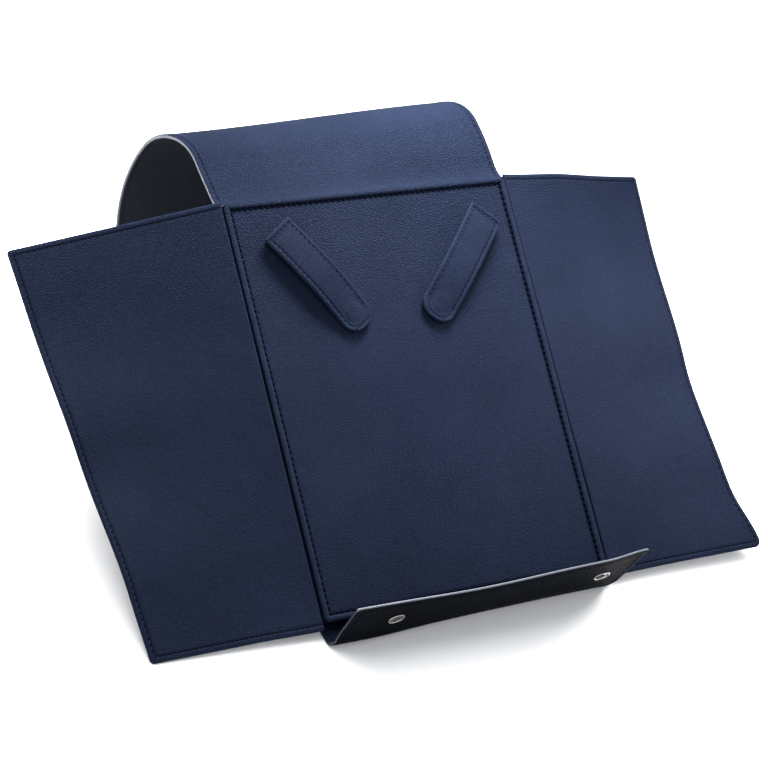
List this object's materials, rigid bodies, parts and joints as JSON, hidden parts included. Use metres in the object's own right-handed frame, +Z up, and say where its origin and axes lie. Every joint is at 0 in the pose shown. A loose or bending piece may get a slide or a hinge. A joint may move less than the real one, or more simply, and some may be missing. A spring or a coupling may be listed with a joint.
{
  "type": "travel jewellery case",
  "caption": "Padded leather board with four folding leather flaps that wrap over it, and two straps with press studs that hold a necklace.",
  "frame": {"origin": "centre of the bounding box, on the ground that the open case stands on", "axes": "+Z up, +X to the right along the board's width, +Y to the back, under the raised end of the board"},
  "size_m": [0.4014, 0.3234, 0.1358],
  "materials": {
    "lining_leather": "satin, fine pebble grain",
    "outer_leather": "smooth semi-gloss",
    "stiffener": "matte fibreboard",
    "foam": "matte foam",
    "snap_metal": "polished nickel"
  },
  "bodies": {
    "board": {"back_cover": "outer_leather", "backboard": "stiffener", "foam_pad": "foam", "pad_cover": "lining_leather", "left_welt": "lining_leather", "right_welt": "lining_leather", "top_welt": "lining_leather", "bottom_welt": "lining_leather", "bottom_roll": "outer_leather", "left_strap_anchor": "lining_leather", "left_strap_stud": "snap_metal", "right_strap_anchor": "lining_leather", "right_strap_stud": "snap_metal"},
    "left_flap_1": {"left_flap_outer_1": "outer_leather", "left_flap_lining_1": "lining_leather"},
    "left_flap_2": {"left_flap_outer_2": "outer_leather", "left_flap_lining_2": "lining_leather"},
    "left_flap_3": {"left_flap_outer_3": "outer_leather", "left_flap_lining_3": "lining_leather"},
    "right_flap_1": {"right_flap_outer_1": "outer_leather", "right_flap_lining_1": "lining_leather"},
    "right_flap_2": {"right_flap_outer_2": "outer_leather", "right_flap_lining_2": "lining_leather"},
    "right_flap_3": {"right_flap_outer_3": "outer_leather", "right_flap_lining_3": "lining_leather"},
    "bottom_wall": {"bottom_wall_outer": "outer_leather", "bottom_wall_lining": "lining_leather"},
    "bottom_flap": {"bottom_flap_outer": "outer_leather", "bottom_flap_lining": "lining_leather", "left_snap_stud": "snap_metal", "right_snap_stud": "snap_metal"},
    "top_flap_1": {"top_flap_outer_1": "outer_leather", "top_flap_lining_1": "lining_leather"},
    "top_flap_2": {"top_flap_outer_2": "outer_leather", "top_flap_lining_2": "lining_leather"},
    "top_flap_3": {"top_flap_outer_3": "outer_leather", "top_flap_lining_3": "lining_leather"},
    "top_flap_4": {"top_flap_outer_4": "outer_leather", "top_flap_lining_4": "lining_leather"},
    "top_flap_5": {"top_flap_outer_5": "outer_leather", "top_flap_lining_5": "lining_leather"},
    "top_flap_6": {"top_flap_outer_6": "outer_leather", "top_flap_lining_6": "lining_leather"},
    "top_flap_7": {"top_flap_outer_7": "outer_leather", "top_flap_lining_7": "lining_leather"},
    "top_flap_8": {"top_flap_outer_8": "outer_leather", "top_flap_lining_8": "lining_leather", "left_snap_socket": "snap_metal", "right_snap_socket": "snap_metal", "left_snap_cap": "snap_metal", "right_snap_cap": "snap_metal"},
    "left_strap": {"left_strap_outer": "lining_leather", "left_strap_lining": "lining_leather", "left_strap_socket": "snap_metal"},
    "right_strap": {"right_strap_outer": "lining_leather", "right_strap_lining": "lining_leather", "right_strap_socket": "snap_metal"}
  },
  "joints": [
    {"name": "left_flap_fold", "type": "hinge", "parent": "board", "child": "left_flap_1", "pos_m": [-0.09149, 0.0584, 0.13017], "axis": [0, 0.8572, 0.515], "range_deg": [-12, 200]},
    {"name": "left_flap_twist_2", "type": "hinge", "parent": "left_flap_1", "child": "left_flap_2", "pos_m": [-0.09149, 0.0584, 0.13017], "axis": [0, 0.8572, 0.515], "range_deg": [-8, 0.95]},
    {"name": "left_flap_twist_3", "type": "hinge", "parent": "left_flap_2", "child": "left_flap_3", "pos_m": [-0.09149, 0.0584, 0.13017], "axis": [0, 0.8572, 0.515], "range_deg": [-8.1, 0.96]},
    {"name": "right_flap_fold", "type": "hinge", "parent": "board", "child": "right_flap_1", "pos_m": [0.09111, 0.05775, 0.13124], "axis": [0, -0.8572, -0.515], "range_deg": [-12, 194.5]},
    {"name": "right_flap_twist_2", "type": "hinge", "parent": "right_flap_1", "child": "right_flap_2", "pos_m": [0.09111, 0.05775, 0.13124], "axis": [0, -0.8572, -0.515], "range_deg": [-3, 0.65]},
    {"name": "right_flap_twist_3", "type": "hinge", "parent": "right_flap_2", "child": "right_flap_3", "pos_m": [0.09111, 0.05775, 0.13124], "axis": [0, -0.8572, -0.515], "range_deg": [-8.5, 0.99]},
    {"name": "bottom_wall_fold", "type": "hinge", "parent": "board", "child": "bottom_wall", "pos_m": [-0.09019, -0.1416, 0.00277], "axis": [-1, 0, 0], "range_deg": [-90, 0]},
    {"name": "bottom_flap_fold", "type": "hinge", "parent": "bottom_wall", "child": "bottom_flap", "pos_m": [-0.09019, -0.14884, 0.01481], "axis": [-1, 0, 0], "range_deg": [-30, 83]},
    {"name": "top_flap_fold", "type": "hinge", "parent": "board", "child": "top_flap_1", "pos_m": [-0.09019, 0.06323, 0.12561], "axis": [1, 0, 0], "range_deg": [-8, 108]},
    {"name": "top_flap_bend_2", "type": "hinge", "parent": "top_flap_1", "child": "top_flap_2", "pos_m": [-0.09019, 0.0815, 0.12983], "axis": [1, 0, 0], "range_deg": [-7.97, 95.1]},
    {"name": "top_flap_bend_3", "type": "hinge", "parent": "top_flap_2", "child": "top_flap_3", "pos_m": [-0.09019, 0.1145, 0.135], "axis": [1, 0, 0], "range_deg": [-4.47, 47.9]},
    {"name": "top_flap_bend_4", "type": "hinge", "parent": "top_flap_3", "child": "top_flap_4", "pos_m": [-0.09019, 0.14082, 0.11444], "axis": [1, 0, 0], "range_deg": [-2.78, 25]},
    {"name": "top_flap_bend_5", "type": "hinge", "parent": "top_flap_4", "child": "top_flap_5", "pos_m": [-0.09019, 0.1565, 0.08495], "axis": [1, 0, 0], "range_deg": [-2.52, 21.5]},
    {"name": "top_flap_bend_6", "type": "hinge", "parent": "top_flap_5", "child": "top_flap_6", "pos_m": [-0.09019, 0.16086, 0.05183], "axis": [1, 0, 0], "range_deg": [-3.04, 28.5]},
    {"name": "top_flap_bend_7", "type": "hinge", "parent": "top_flap_6", "child": "top_flap_7", "pos_m": [-0.09019, 0.14944, 0.02045], "axis": [1, 0, 0], "range_deg": [-3.76, 38.19]},
    {"name": "top_flap_bend_8", "type": "hinge", "parent": "top_flap_7", "child": "top_flap_8", "pos_m": [-0.09019, 0.12136, 0.00235], "axis": [1, 0, 0], "range_deg": [-3.43, 33.81]},
    {"name": "left_strap_lift", "type": "hinge", "parent": "board", "child": "left_strap", "pos_m": [-0.06359, 0.04329, 0.12075], "axis": [0.829, 0.4793, 0.288], "range_deg": [-110, 0]},
    {"name": "right_strap_lift", "type": "hinge", "parent": "board", "child": "right_strap", "pos_m": [0.06991, 0.04029, 0.11895], "axis": [0.7431, -0.5736, -0.3446], "range_deg": [-110, 0]}
  ],
  "couplings": [
    {"joint": "left_flap_twist_2", "follows": "left_flap_fold", "ratio": -0.0375},
    {"joint": "left_flap_twist_3", "follows": "left_flap_fold", "ratio": -0.038},
    {"joint": "right_flap_twist_2", "follows": "right_flap_fold", "ratio": -0.012853},
    {"joint": "right_flap_twist_3", "follows": "right_flap_fold", "ratio": -0.041131},
    {"joint": "top_flap_bend_2", "follows": "top_flap_fold", "ratio": 0.8713},
    {"joint": "top_flap_bend_3", "follows": "top_flap_fold", "ratio": 0.43426},
    {"joint": "top_flap_bend_4", "follows": "top_flap_fold", "ratio": 0.22222},
    {"joint": "top_flap_bend_5", "follows": "top_flap_fold", "ratio": 0.18982},
    {"joint": "top_flap_bend_6", "follows": "top_flap_fold", "ratio": 0.25463},
    {"joint": "top_flap_bend_7", "follows": "top_flap_fold", "ratio": 0.3444},
    {"joint": "top_flap_bend_8", "follows": "top_flap_fold", "ratio": 0.30375}
  ]
}
